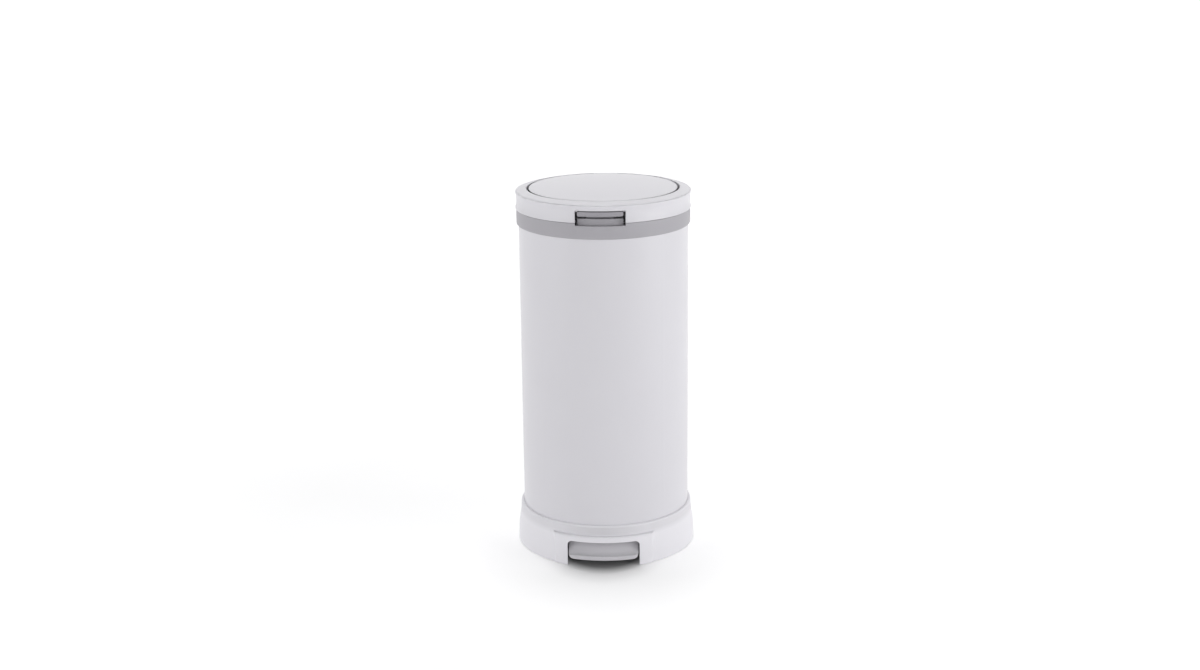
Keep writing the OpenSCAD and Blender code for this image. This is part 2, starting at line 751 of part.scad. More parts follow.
module frame_ring() {
    web_top = z_land - ring_wall + 1;
    color("white") difference() {
        union() {
            difference() {
                union() {
                    rotate_extrude() ring_section();
                    ring_ribs();
                }
                // Notch of the latch
                translate([0, -throat_r, 0]) rotate([90, 0, 0]) linear_extrude(ring_r)
                    arch(latch_notch_w, z_skirt - 1, z_notch, 1.5);
                // Rear cut-out that the lid's arm fills
                translate([-cut_half, sqrt(pow(groove_r, 2) - pow(cut_half, 2)) - gap, z_skirt - 1])
                    cube([2 * cut_half, ring_r, 60]);
            }
            mirrored() across(ring_knuckle_x, ring_knuckle_x + knuckle_w) ring_lug();
            // Ears of the latch pin
            mirrored() across(latch_half + 1, latch_half + 4) polygon([
                [latch_y - 3.2, web_top], [latch_y + 5, web_top], [latch_y + 4, latch_z - 4],
                [latch_y - 3.2, latch_z - 4]]);
            // Saddle of the damper
            translate([damper_x + 3, pinion_y - 3.5, pinion_z + damper_r + 0.1])
                cube([damper_len - 4, 8, z_land - ring_wall - pinion_z - damper_r + 0.4]);
        }
        pin_x(hinge_pin_r + pin_fit, -pin_half, pin_half, hinge_y, z_hinge);
        pin_x(latch_pin_r, -latch_half - 5, latch_half + 5, latch_y, latch_z);
        funnel_screw_places() cylinder(h = head_h + funnel_grip + 1.6, r = screw_r + screw_fit);
    }
}

// Side view of a lug that carries the ring on the hinge pin
module ring_lug() {
    y0 = sqrt(pow(ring_r - ring_wall, 2) - pow(ring_knuckle_x + knuckle_w, 2)) - 0.6;
    polygon([[y0, z_hinge - 7], [y0, z_hinge + 8], [ring_r + 1, z_hinge + 8],
             [hinge_y + 3.8, z_hinge + 5.2], [hinge_y - 2.6, z_hinge - 5.9]]);
    translate([hinge_y, z_hinge]) circle(knuckle_r);
}

// Ribs between the skirt and the groove's wall
module ring_ribs() {
    for (a = [-50:20:70]) mirrored() rotate([0, 0, a])
        translate([groove_r + ring_wall - eps, -rib_t / 2, z_groove_floor])
            cube([ring_r - groove_r - 2 * ring_wall + 2 * eps, rib_t,
                  z_land - ring_wall - 1.5 - z_groove_floor]);
}

// Funnel that guides a nappy through the throat into the bag
module throat_funnel() {
    top = z_groove_floor - 0.05;
    low = z_seat - funnel_h;
    color("gainsboro") difference() {
        rotate_extrude()
            polygon([[throat_r + 13, top], [throat_r + 13, top - funnel_grip + 0.1],
                     [throat_r, top - funnel_grip + 0.1], [throat_r - funnel_taper, low],
                     [throat_r - funnel_taper - funnel_t, low], [throat_r - funnel_t, top]]);
        funnel_screw_places() cylinder(h = 10, r = screw_r + screw_fit);
    }
}

// Places of the screws' heads under the funnel's flange
module funnel_screw_places() {
    for (a = [45:90:315]) rotate([0, 0, a])
        translate([throat_r + 9, 0, z_groove_floor - funnel_grip - head_h]) children();
}

module funnel_screws() {
    color("silver") funnel_screw_places() screw(funnel_grip + 1.5);
}

// Rotary damper: an oil-filled barrel whose pinion slows the lid
module damper_body() {
    color("#444444") difference() {
        union() {
            pin_x(damper_r, damper_x, damper_x + damper_len, pinion_y, pinion_z);
            translate([damper_x + 3, pinion_y - 3.5, pinion_z]) cube([damper_len - 4, 7, damper_r]);
        }
        pin_x(1.5 + pin_fit, damper_x - 1, damper_x + 6, pinion_y, pinion_z);
    }
}

function involute_r(rb, t) = rb * sqrt(1 + t * t);
function involute_a(t) = t * 180 / PI - atan(t);

// Points of one gear tooth, centred on the X axis, from its root round its two involute flanks
function tooth(n, thin) =
    let (rp = gear_module * n / 2,
         rb = rp * cos(pressure_angle),
         tip = rp + gear_module,
         root = rp - 1.25 * gear_module,
         start = max(root, rb),
         half = 90 / n - thin / rp * 90 / PI / 2 + involute_a(tan(pressure_angle)),
         t0 = sqrt(pow(start / rb, 2) - 1),
         t1 = sqrt(pow(tip / rb, 2) - 1),
         side = [for (i = [0:4]) let (t = t0 + (t1 - t0) * i / 4) [involute_r(rb, t), half - involute_a(t)]],
         foot = (side[0][1] + 180 / n) / 2)
    concat([[root, -foot]], [for (p = side) [p[0], -p[1]]],
           [for (i = [4:-1:0]) side[i]], [[root, foot]]);

// Gear teeth from number a to number b, as one outline of points
function teeth(n, a, b, thin) = [for (k = [a:b], p = tooth(n, thin))
    [p[0] * cos(p[1] + k * 360 / n), p[0] * sin(p[1] + k * 360 / n)]];

module damper_pinion() {
    // A gap of the pinion faces the hinge, where a tooth of the sector stands
    facing = pinion_angle + 180 + 180 / pinion_teeth;
    color("ivory") {
        across(sector_x, sector_x + gear_w) translate([pinion_y, pinion_z])
            rotate(facing) polygon(teeth(pinion_teeth, 0, pinion_teeth - 1, backlash));
        pin_x(1.5, sector_x + gear_w - eps, damper_x + 5.7, pinion_y, pinion_z);
    }
}

module sector_outline() {
    count = ceil((lid_open + 14) / (360 / sector_teeth));
    translate([hinge_y, z_hinge]) rotate(pinion_angle)
        polygon(concat([[0, 0]], teeth(sector_teeth, -1, count, backlash)));
}

// Half-section of the domed lid
module dome_section() {
    intersection() {
        translate([0, lid_edge + dome_rise - dome_r]) difference() {
            circle(dome_r, $fn = 1200);
            circle(dome_r - lid_wall, $fn = 1200);
        }
        translate([0, lid_edge - 3]) square([lid_r - 1.2, dome_rise + 6]);
    }
    difference() {
        translate([lid_r - lid_wall - 0.6, lid_edge - lid_edge_h])
            square([lid_wall + 0.6, lid_edge_h + 0.4]);
        difference() {
            translate([lid_r - 1.2, lid_edge - 1.2]) square(3);
            translate([lid_r - 1.2, lid_edge - 1]) circle(1.2);
        }
    }
}

// Height of the middle of the dome's wall at distance r from its centre
function dome_mid(r) = lid_edge + dome_rise - dome_r + sqrt(dome_r * dome_r - r * r) - lid_wall / 2;

module lid_dome() {
    color("white") difference() {
        union() {
            rotate_extrude() dome_section();
            // Bosses of the arm's and the liner's screws
            for (p = screw_places()) translate(p)
                cylinder(h = dome_mid(norm([p[0], p[1]])) - p[2], r = 3.5);
        }
        for (p = screw_places()) translate([p[0], p[1], p[2] - 1])
            cylinder(h = 4, r = screw_r + screw_fit);
        // Opening in the rear edge for the arm
        translate([-arm_w / 2 - 0.3, 0, z_plate - 10])
            cube([arm_w + 0.6, lid_r + 5, 10 + plate_t + 0.15]);
        translate([-arm_w / 2 - 0.3, lid_r - lid_wall - 0.8, z_plate - 10])
            cube([arm_w + 0.6, lid_wall + 5, 30]);
    }
}

// Centres and lower ends of the bosses under the dome: three for the liner, two for the arm
function screw_places() = concat(
    [for (a = [-90, -20, 200]) [liner_screw_r * cos(a), liner_screw_r * sin(a), z_liner + liner_t + 0.05]],
    [for (x = [-12, 12]) [x, arm_screw_y, z_plate + plate_t + 0.05]]);

// Plate under the dome with two rims that hold the gasket, and ribs from the cup to the inner rim
module lid_liner() {
    rim_in = gasket_in - 1.4;
    color("gainsboro") difference() {
        union() {
            rotate_extrude() polygon([[0, z_liner], [rim_in, z_liner], [rim_in, rim_low],
                [gasket_in - 0.1, rim_low], [gasket_in - 0.1, z_liner], [gasket_out + 0.1, z_liner],
                [gasket_out + 0.1, rim_low], [liner_r, rim_low], [liner_r, z_liner + liner_t],
                [0, z_liner + liner_t]]);
            for (i = [0:liner_ribs - 1]) rotate([0, 0, (i + 0.5) * 360 / liner_ribs])
                rotate([90, 0, 0]) translate([0, 0, -0.8]) linear_extrude(1.6)
                    polygon([[cup_r + 6, z_liner + eps], [cup_r + 6 + liner_rib_h, z_liner - liner_rib_h],
                             [rim_in - 2 * liner_rib_h, z_liner - liner_rib_h], [rim_in + 0.2, rim_low + 0.4],
                             [rim_in + 0.2, z_liner + eps]]);
        }
        // Holes of its own screws, and wider ones that give access to the arm's screws
        for (p = screw_places()) translate([p[0], p[1], z_liner - 1])
            cylinder(h = liner_t + 2, r = p[2] < z_plate ? screw_r + screw_fit : head_r + gap);
    }
}

module lid_gasket() {
    color("#333333") rotate_extrude() {
        translate([gasket_in, z_seat + 1]) square([gasket_out - gasket_in, z_liner - z_seat - 1.05]);
        translate([gasket_in + 1, z_seat + 0.3]) square([gasket_out - gasket_in - 2, 1]);
    }
}

// Side view of the arm, from its plate under the dome, over the ring, to the hinge
module arm_outline() {
    front = lid_r - lid_wall - 0.6;
    polygon([[lid_r - arm_reach, z_plate], [lid_r - arm_reach, z_plate + plate_t], [front, z_plate + plate_t],
             [front, z_rim - 0.2], [groove_r + 1.2, z_rim],
             [ring_r - 3, z_land], [ring_r - 0.4, z_land - 1.4], [ring_r + 0.6, z_land - 4],
             [hinge_y + 3.5, z_hinge + 4.6], [hinge_y - 4, z_hinge - 4],
             [ring_r - 8, z_hinge + 7.5], [groove_r + 3, z_plate - 2.5], [groove_r, z_plate]]);
    translate([hinge_y, z_hinge]) circle(knuckle_r);
}

module lid_arm() {
    color("white") difference() {
        union() {
            difference() {
                across(-arm_w / 2, arm_w / 2) arm_outline();
                // Room for the pinion and its shaft
                pin_x(gear_module * (pinion_teeth / 2 + 1) + 0.8, sector_x - 0.8, arm_w / 2 + 1,
                      pinion_y, pinion_z);
            }
            across(sector_x, sector_x + gear_w) sector_outline();
            // Crank
            across(-4, 4) {
                translate([crank_y, crank_z]) circle(crank_tip);
                translate([hinge_y, z_hinge]) rotate(180 + crank_rest)
                    translate([0, -2.5]) square([crank_r, 5]);
            }
        }
        pin_x(hinge_pin_r + pin_fit, -arm_w, arm_w, hinge_y, z_hinge);
        for (p = screw_places()) if (p[2] > z_plate) translate([p[0], p[1], z_plate - 1])
            cylinder(h = plate_t + 2, r = screw_r + screw_fit);
    }
}

// Screws up through the liner and the arm into the dome's bosses
module arm_screws() {
    color("silver") for (p = screw_places())
        translate([p[0], p[1], (p[2] < z_plate ? z_liner : z_plate) - head_h - 0.05]) screw(screw_reach);
}

// Cup under the lid that holds the deodoriser
module deodoriser_cup() {
    color("gainsboro") translate([0, 0, z_liner - 0.05]) mirror([0, 0, 1]) difference() {
        union() {
            cylinder(h = cup_h, r = cup_r);
            // Lugs of the bayonet
            for (a = [0:120:240]) rotate([0, 0, a]) intersection() {
                translate([0, 0, cup_h - 4]) cylinder(h = 2, r = cup_r + 1.2);
                translate([0, -5, 0]) cube([cup_r + 4, 10, cup_h]);
            }
        }
        translate([0, 0, 2]) cylinder(h = cup_h, r = cup_r - 2);
    }
}

module deodoriser_puck() {
    color("lightblue") translate([0, 0, z_liner - 2.1 - 9]) difference() {
        cylinder(h = 9, r = cup_r - 2.5);
        for (a = [0:60:300]) rotate([0, 0, a]) translate([cup_r * 0.55, 0, -1]) cylinder(h = 3, r = 4);
    }
}

// Slotted cap that turns off the cup
module deodoriser_cap() {
    lift = z_liner - cup_h;
    color("white") difference() {
        translate([0, 0, lift - 3]) cylinder(h = 9, r = cup_r + 3.6);
        translate([0, 0, lift - 0.6]) cylinder(h = 12, r = cup_r + 0.3);
        // Track of the bayonet's lugs
        translate([0, 0, lift + 1.7]) cylinder(h = 2.6, r = cup_r + 1.6);
        for (a = [0:120:240]) rotate([0, 0, a + 40]) translate([0, -6.5, lift + 1.7])
            cube([cup_r + 1.6, 13, 10]);
        // Vents
        for (a = [0:30:330]) rotate([0, 0, a]) translate([12, -1.6, lift - 4]) cube([16, 3.2, 6]);
        // Grip notches
        for (a = [0:15:345]) rotate([0, 0, a]) translate([cup_r + 4.6, 0, lift - 4])
            cylinder(h = 12, r = 1.6, $fn = 32);
    }
}

module latch_pin() {
    color("silver") pin_x(latch_pin_r, -latch_half - 3.9, latch_half + 3.9, latch_y, latch_z);
}

// Torsion spring on the latch pin, between the two halves of the tongue's barrel
module latch_spring() {
    wire = 0.4;
    coil_r = latch_pin_r + 0.25 + wire;
    turns = 8;
    color("silver") {
        translate([-turns * wire * 0.85, latch_y, latch_z]) rotate([0, 90, 0]) rotate_extrude()
            for (i = [0:turns - 1]) translate([coil_r, (1.7 * i + 1) * wire]) circle(wire, $fn = 24);
        // One leg bears on the ring's land and the other on the tongue's plate
        translate([-turns * wire * 0.85 + 0.1, latch_y - coil_r - 0.3, latch_z])
            cube([0.6, 0.6, 3.6]);
        translate([turns * wire * 0.85 - 0.7, latch_y + coil_r - 0.3, z_lip_top])
            cube([0.6, 0.6, latch_z - z_lip_top]);
    }
}

// Grey tongue: a lip in the notch, a barrel on the pin and a hook under the catch
module latch_tongue() {
    front_r = ring_r - 0.8;
    plate_top = z_lip_top - 0.6;
    color("darkgray") difference() {
        union() {
            // Curved lip, with a small radius at its lower corners
            intersection() {
                turn(-90 - 20, -90 + 20)
                    translate([front_r - 2.6, z_lip]) square([2.6, latch_lip_h]);
                translate([0, -100, 0]) rotate([90, 0, 0]) linear_extrude(80)
                    polygon([[-latch_half, z_lip_top + 1], [-latch_half, z_lip + 2],
                             [-latch_half + 0.6, z_lip + 0.6], [-latch_half + 2, z_lip - eps],
                             [latch_half - 2, z_lip - eps], [latch_half - 0.6, z_lip + 0.6],
                             [latch_half, z_lip + 2], [latch_half, z_lip_top + 1]]);
            }
            translate([0, 0, plate_top - 2]) linear_extrude(2) intersection() {
                circle(front_r - 1);
                translate([-latch_half + 0.5, -front_r])
                    square([2 * latch_half - 1, front_r + latch_y + 1]);
            }
            // Web up to the barrel, on both sides of the spring
            for (x = [-latch_half + 1, 3.6])
                translate([x, latch_y - 1.2, plate_top - 1])
                    cube([latch_half - 4.6, 2.4, latch_z - plate_top + 1]);
            pin_x(3, -latch_half, -3.6, latch_y, latch_z);
            pin_x(3, 3.6, latch_half, latch_y, latch_z);
            // Hook, drawn from the plate's rear edge down to its tip under the catch
            across(-hook_half, hook_half)
                polygon([[latch_y - 1, plate_top - 0.2], [-hook_y, plate_top - 0.2], [-hook_y, foot_top],
                         [-hook_tip, foot_top], [-hook_tip, foot_low + 1], [-hook_tip - 1, foot_low],
                         [-hook_y - hook_t, foot_low], [-hook_y - hook_t, plate_top - 1.8],
                         [latch_y - 1, plate_top - 1.8]]);
        }
        pin_x(latch_pin_r + pin_fit, -latch_half - 1, latch_half + 1, latch_y, latch_z);
    }
}

base_shell();
rubber_feet();
steel_tube();
collar_band();
collar_gasket();
bag_ring();
rod_cover();
rod_guides();
pedal_shaft();
shaft_clips();
hinge_pin();
band_screws();
push_rod();
rod_cap();
pedal_lever();
pedal_tread();
tread_screws();
frame_ring();
throat_funnel();
funnel_screws();
damper_body();
damper_pinion();
latch_pin();
latch_spring();
latch_tongue();
lid_dome();
lid_liner();
lid_gasket();
lid_arm();
arm_screws();
deodoriser_cup();
deodoriser_puck();
deodoriser_cap();
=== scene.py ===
"""Dressed scene of the pedal nappy bin: surfaces, small fittings, floor, light and camera.

Lengths are in metres, +Z is up and the pedal faces -Y.
"""
import json
import math

import bmesh
import bpy
from mathutils import Matrix, Vector

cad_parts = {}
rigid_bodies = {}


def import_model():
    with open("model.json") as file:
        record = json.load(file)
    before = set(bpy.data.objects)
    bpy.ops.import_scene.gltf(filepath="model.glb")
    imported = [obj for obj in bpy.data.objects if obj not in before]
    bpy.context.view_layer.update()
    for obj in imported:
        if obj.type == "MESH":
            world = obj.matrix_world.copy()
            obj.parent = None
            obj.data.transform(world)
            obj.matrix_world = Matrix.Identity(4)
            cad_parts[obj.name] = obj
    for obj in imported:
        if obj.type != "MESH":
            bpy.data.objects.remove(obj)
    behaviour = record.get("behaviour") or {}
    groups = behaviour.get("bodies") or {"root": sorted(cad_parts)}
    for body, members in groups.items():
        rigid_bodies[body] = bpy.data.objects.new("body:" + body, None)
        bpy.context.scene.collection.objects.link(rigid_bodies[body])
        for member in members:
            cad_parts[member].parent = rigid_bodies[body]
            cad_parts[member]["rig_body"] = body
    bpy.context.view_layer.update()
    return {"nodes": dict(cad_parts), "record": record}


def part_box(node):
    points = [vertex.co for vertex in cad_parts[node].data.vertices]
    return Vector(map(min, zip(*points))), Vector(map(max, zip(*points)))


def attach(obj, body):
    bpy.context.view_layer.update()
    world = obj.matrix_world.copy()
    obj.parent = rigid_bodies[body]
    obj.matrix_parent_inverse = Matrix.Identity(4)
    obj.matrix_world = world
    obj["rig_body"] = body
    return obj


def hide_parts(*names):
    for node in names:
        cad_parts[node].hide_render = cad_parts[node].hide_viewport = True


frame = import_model()

SAME_POINT = 2e-6    # points closer than this are one
SHARP_EDGE = math.radians(32.0)    # edges of the CAD pieces that turn more than this are hard


def shown(name, data):
    """New object in the scene that shows data."""
    thing = bpy.data.objects.new(name, data)
    bpy.context.scene.collection.objects.link(thing)
    return thing


# Camera

def place_camera():
    """Camera above the lid's height and a little to the right, slightly turned and rolled as in the photo."""
    stand = (0.10946, -3.0509, 1.2052)
    turn, tilt, roll = 2.2, 15.333, -0.618
    lens = bpy.data.cameras.new("photo_camera")
    lens.sensor_width = 36.0
    lens.lens = 54.789
    lens.clip_end = 60.0
    camera = shown("photo_camera", lens)
    turned = Matrix.Rotation(math.radians(turn), 4, "Z")
    tilted = Matrix.Rotation(math.radians(90.0 - tilt), 4, "X")
    rolled = Matrix.Rotation(math.radians(roll), 4, "Z")
    camera.matrix_world = Matrix.Translation(stand) @ turned @ tilted @ rolled
    bpy.context.scene.camera = camera


place_camera()


# Nodes that the materials, the floor and the background share

def feed(tree, socket, source):
    """Links a socket to another node's output, or sets it to a plain value."""
    if isinstance(source, bpy.types.NodeSocket):
        tree.links.new(source, socket)
    else:
        socket.default_value = source


def object_place(tree):
    """Output with the shaded point's place in its object's own coordinates."""
    return tree.nodes.new("ShaderNodeTexCoord").outputs["Object"]


def noise(tree, place, scale, detail):
    """Output of a noise with the given scale per metre."""
    node = tree.nodes.new("ShaderNodeTexNoise")
    node.inputs["Scale"].default_value = scale
    node.inputs["Detail"].default_value = detail
    tree.links.new(place, node.inputs["Vector"])
    return node.outputs["Fac"]


def ramp(tree, value, start, end, first, last):
    """Output that goes from first to last while value goes from start to end, and is level outside them."""
    node = tree.nodes.new("ShaderNodeMapRange")
    node.inputs["From Min"].default_value = start
    node.inputs["From Max"].default_value = end
    feed(tree, node.inputs["To Min"], first)
    feed(tree, node.inputs["To Max"], last)
    tree.links.new(value, node.inputs["Value"])
    return node.outputs["Result"]


def mixed(tree, share, first, second):
    """Colour output that goes from first to second as share goes from 0 to 1."""
    node = tree.nodes.new("ShaderNodeMix")
    node.data_type = "RGBA"
    node.clamp_factor = True
    tree.links.new(share, node.inputs["Factor"])
    feed(tree, node.inputs["A"], first)
    feed(tree, node.inputs["B"], second)
    return node.outputs["Result"]


def computed(tree, operation, *terms):
    """Output of a Math node with the given terms."""
    node = tree.nodes.new("ShaderNodeMath")
    node.operation = operation
    for socket, term in zip(node.inputs, terms):
        tree.links.new(term, socket)
    return node.outputs["Value"]


def length_of(tree, vector):
    """Output with a vector's length."""
    node = tree.nodes.new("ShaderNodeVectorMath")
    node.operation = "LENGTH"
    tree.links.new(vector, node.inputs[0])
    return node.outputs["Value"]


# Materials

def surface(name, colour, roughness, grain, depth, tone=0.03, metallic=0.0, stretch=(1, 1, 1), coat=0.0):
    """Principled surface whose grain, tone and gloss vary with noise on Object coordinates.

    grain is the noise's scale per metre, depth the bump's distance in metres, and tone the share by which
    the colour drifts over the piece.
    """
    drift_scale, drift_detail = 14.0, 4.0
    grain_detail = 3.0
    grain_strength = 0.6
    gloss_swing = 0.06
    coat_roughness = 0.12
    material = bpy.data.materials.new(name)
    material.use_nodes = True
    tree = material.node_tree
    shader = tree.nodes["Principled BSDF"]
    shader.inputs["Metallic"].default_value = metallic
    shader.inputs["Coat Weight"].default_value = coat
    shader.inputs["Coat Roughness"].default_value = coat_roughness
    mapping = tree.nodes.new("ShaderNodeMapping")
    mapping.inputs["Scale"].default_value = stretch
    tree.links.new(object_place(tree), mapping.inputs["Vector"])

    drift = noise(tree, mapping.outputs["Vector"], drift_scale, drift_detail)
    darker = (*[channel * (1 - tone) for channel in colour], 1)
    lighter = (*[min(1, channel * (1 + tone)) for channel in colour], 1)
    tree.links.new(mixed(tree, drift, darker, lighter), shader.inputs["Base Color"])
    gloss = ramp(tree, drift, 0.0, 1.0, roughness - gloss_swing, roughness + gloss_swing)
    tree.links.new(gloss, shader.inputs["Roughness"])

    bump = tree.nodes.new("ShaderNodeBump")
    bump.inputs["Strength"].default_value = grain_strength
    bump.inputs["Distance"].default_value = depth
    tree.links.new(noise(tree, mapping.outputs["Vector"], grain, grain_detail), bump.inputs["Height"])
    tree.links.new(bump.outputs["Normal"], shader.inputs["Normal"])
    return material


def paint_shade_over_the_hood(material):
    """Paints shade into the base's white: greyer on the wall over its hood, most of all at the middle."""
    black = (0, 0, 0, 1)
    foot_z, wall_z = 0.050, 0.060
    hood_top, over_hood = 0.0555, 0.0575
    hood_side = 0.070
    under_rim, rim_edge = 0.0685, 0.0715
    wall_painted_shade, middle_painted_shade = 0.12, 0.11
    # Less than none, so that the painted shade ends and the rim is white again just before its edge
    rim_painted_shade = -0.02
    tree = material.node_tree
    shader = tree.nodes["Principled BSDF"]
    white = shader.inputs["Base Color"].links[0].from_socket
    parts = tree.nodes.new("ShaderNodeSeparateXYZ")
    tree.links.new(object_place(tree), parts.inputs["Vector"])
    height = parts.outputs["Z"]
    sideways = computed(tree, "ABSOLUTE", parts.outputs["X"])

    on_wall = ramp(tree, height, foot_z, wall_z, 0.0, wall_painted_shade)
    at_middle = ramp(tree, sideways, 0.0, hood_side, middle_painted_shade, 0.0)
    above_hood = ramp(tree, height, hood_top, over_hood, 0.0, at_middle)
    painted_shade_amount = computed(tree, "ADD", on_wall, above_hood)
    up_to_rim = ramp(tree, height, under_rim, rim_edge, painted_shade_amount, rim_painted_shade)
    tree.links.new(mixed(tree, up_to_rim, white, black), shader.inputs["Base Color"])


moulded_white = surface("moulded_white", (0.755, 0.745, 0.784), 0.36, 1400, 0.00006, tone=0.012)
# Painted light: the lid's white plastic made lighter for the base, which gets less light near the floor
base_white_painted_light_shade = surface("base_white_painted_light_shade", (0.85, 0.84, 0.88), 0.38, 1400, 0.00006, tone=0.012)
paint_shade_over_the_hood(base_white_painted_light_shade)
pale_moulding = surface("pale_moulding", (0.70, 0.70, 0.73), 0.52, 1800, 0.00012, tone=0.02)
grained_grey = surface("grained_grey", (0.42, 0.41, 0.44), 0.48, 2200, 0.00016, tone=0.03)
powder_coat = surface("powder_coat", (0.728, 0.718, 0.757), 0.34, 620, 0.00010, tone=0.010, coat=0.15)
zinc_plate = surface("zinc_plate", (0.62, 0.63, 0.64), 0.32, 900, 0.00004, tone=0.08, metallic=1.0)
ground_steel = surface("ground_steel", (0.66, 0.66, 0.67), 0.26, 700, 0.00005, tone=0.05, metallic=1.0,
                       stretch=(0.05, 1, 1))
tread_grey = surface("tread_grey", (0.60, 0.59, 0.62), 0.50, 2200, 0.00016, tone=0.03)
latch_grey = surface("latch_grey", (0.355, 0.345, 0.375), 0.46, 2200, 0.00016, tone=0.03)
black_rubber = surface("black_rubber", (0.022, 0.022, 0.024), 0.78, 1500, 0.00020, tone=0.15)
grey_rubber = surface("grey_rubber", (0.10, 0.10, 0.105), 0.80, 1500, 0.00020, tone=0.12)
bearing_plastic = surface("bearing_plastic", (0.72, 0.68, 0.58), 0.38, 1200, 0.00005, tone=0.02)
dark_plastic = surface("dark_plastic", (0.045, 0.045, 0.05), 0.42, 1600, 0.00010, tone=0.06)
scent_block = surface("scent_block", (0.36, 0.56, 0.66), 0.85, 420, 0.00060, tone=0.12)

finish_of = {
    "white_plastic": moulded_white, "pale_plastic": pale_moulding, "grey_plastic": grained_grey,
    "tread_plastic": tread_grey, "latch_plastic": latch_grey, "painted_tube": powder_coat,
    "zinc_steel": zinc_plate, "pin_steel": ground_steel,
    "black_rubber": black_rubber, "grey_rubber": grey_rubber, "bearing_plastic": bearing_plastic,
    "dark_plastic": dark_plastic, "scent_block": scent_block,
}
finish_of_node = {"base_shell": base_white_painted_light_shade}
slot_of = {entry["node"]: entry["material_slot"] for entry in frame["record"]["subparts"]}


# Pieces

def hang(piece, material, body, replaced=None):
    """Gives a piece its material, hangs it on its body and hides the node that it stands for."""
    piece.data.materials.clear()
    piece.data.materials.append(material)
    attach(piece, body)
    if replaced:
        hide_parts(replaced)


def shade(mesh, sharp_from):
    """Smooth shading that breaks at edges that turn by more than sharp_from."""
    mesh.shade_smooth()
    mesh.set_sharp_from_angle(angle=sharp_from)


def rounded(shape, edges, offset, segments):
    """Rounds the given edges of a shape off, offset metres to each side."""
    bmesh.ops.bevel(shape, geom=edges, offset=offset, offset_type="OFFSET", affect="EDGES", segments=segments,
                    profile=0.5, material=-1)


def softened(node, edge, fitting, rounding_first):
    """Puts a smooth-shaded copy of a CAD node in its place, with its hard edges rounded off by edge.

    fitting moves points of the merged copy, and rounding_first rounds a rim of it before the other edges.
    """
    flat_within = math.radians(0.3)
    source = frame["nodes"][node]
    mesh = source.data.copy()
    mesh.name = node + "_skin"
    shape = bmesh.new()
    shape.from_mesh(mesh)
    bmesh.ops.remove_doubles(shape, verts=shape.verts, dist=SAME_POINT)
    if fitting:
        fitting(shape)
    bmesh.ops.dissolve_limit(shape, angle_limit=flat_within, verts=shape.verts, edges=shape.edges)
    if rounding_first:
        rounding_first(shape)
    shape.to_mesh(mesh)
    shape.free()
    shade(mesh, SHARP_EDGE)
    piece = shown(node + "_skin", mesh)
    if edge:
        rounding = piece.modifiers.new("rounded edges", "BEVEL")
        rounding.width = edge
        rounding.segments = 3
        rounding.limit_method = "ANGLE"
        rounding.angle_limit = SHARP_EDGE
        rounding.harden_normals = True
        rounding.miter_outer = "MITER_ARC"
    else:
        flat_faces = piece.modifiers.new("calm flat faces", "WEIGHTED_NORMAL")
        flat_faces.keep_sharp = True
    finish = finish_of_node.get(node) or finish_of[slot_of[node]]
    hang(piece, finish, source["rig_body"], node)


def round_shoulder(shape):
    """Rounds the base's top rim, which meets the tube in a soft step."""
    rim_z, rim_r = 0.0720, 0.1497
    close = 0.0004
    rim = [edge for edge in shape.edges
           if all(abs(point.co.z - rim_z) < close and abs(point.co.xy.length - rim_r) < close
                  for point in edge.verts)]
    rounded(shape, rim, offset=0.0034, segments=5)


def narrow_notch(shape):
    """Brings the sides of the latch's notch a little closer to the tongue."""
    nearer = 0.00075
    front_y, inner_r = -0.132, 0.1395
    side_from, side_to = 0.04065, 0.0423
    for point in shape.verts:
        at_front = point.co.y < front_y and point.co.xy.length > inner_r
        if at_front and side_from < abs(point.co.x) < side_to:
            point.co.x -= math.copysign(nearer, point.co.x)


def fit_catch(shape):
    """Lowers and narrows the front wall of the latch's pocket, so that dark gaps frame the tongue."""
    lowered = 0.0024
    turned_in = math.radians(1.62)
    inner_r, outer_r = 0.1358, 0.1392
    front_y, foot_z, upper_z = -0.12, 0.5835, 0.6035
    end_from, end_to = 0.0403, 0.0415
    narrow_notch(shape)
    for point in shape.verts:
        in_wall = inner_r < point.co.xy.length < outer_r and point.co.z > foot_z
        if in_wall and point.co.y < front_y and abs(point.co.x) < end_to:
            if point.co.z > upper_z:
                point.co.z -= lowered
            if abs(point.co.x) > end_from:
                inward = math.copysign(turned_in, -point.co.x)
                point.co = Matrix.Rotation(inward, 3, "Z") @ point.co


def widen_tongue(shape):
    """Carries the latch tongue's ends a little further into its notch."""
    wider = 0.0010
    end_from = 0.030
    for point in shape.verts:
        if abs(point.co.x) > end_from:
            point.co.x += math.copysign(wider, point.co.x)


fitting_of = {"collar_band": fit_catch, "frame_ring": narrow_notch, "latch_tongue": widen_tongue}
first_rounding_of = {"base_shell": round_shoulder}
edge_of = {"base_shell": 0.0010, "collar_band": 0.0003, "frame_ring": 0.0005, "lid_dome": 0.0004,
           "pedal_tread": 0.0008, "latch_tongue": 0.0005, "lid_arm": 0.0004}
for node in sorted(frame["nodes"]):
    if node != "latch_spring":
        softened(node, edge_of.get(node), fitting_of.get(node), first_rounding_of.get(node))


# Pieces that only the scene has

def finish_piece(shape, name, material, body, replaced=None):
    """Makes an object of a bmesh in the frame's own place and hangs it on its body."""
    sharp_from = math.radians(35)
    mesh = bpy.data.meshes.new(name)
    shape.to_mesh(mesh)
    shape.free()
    shade(mesh, sharp_from)
    hang(shown(name, mesh), material, body, replaced)


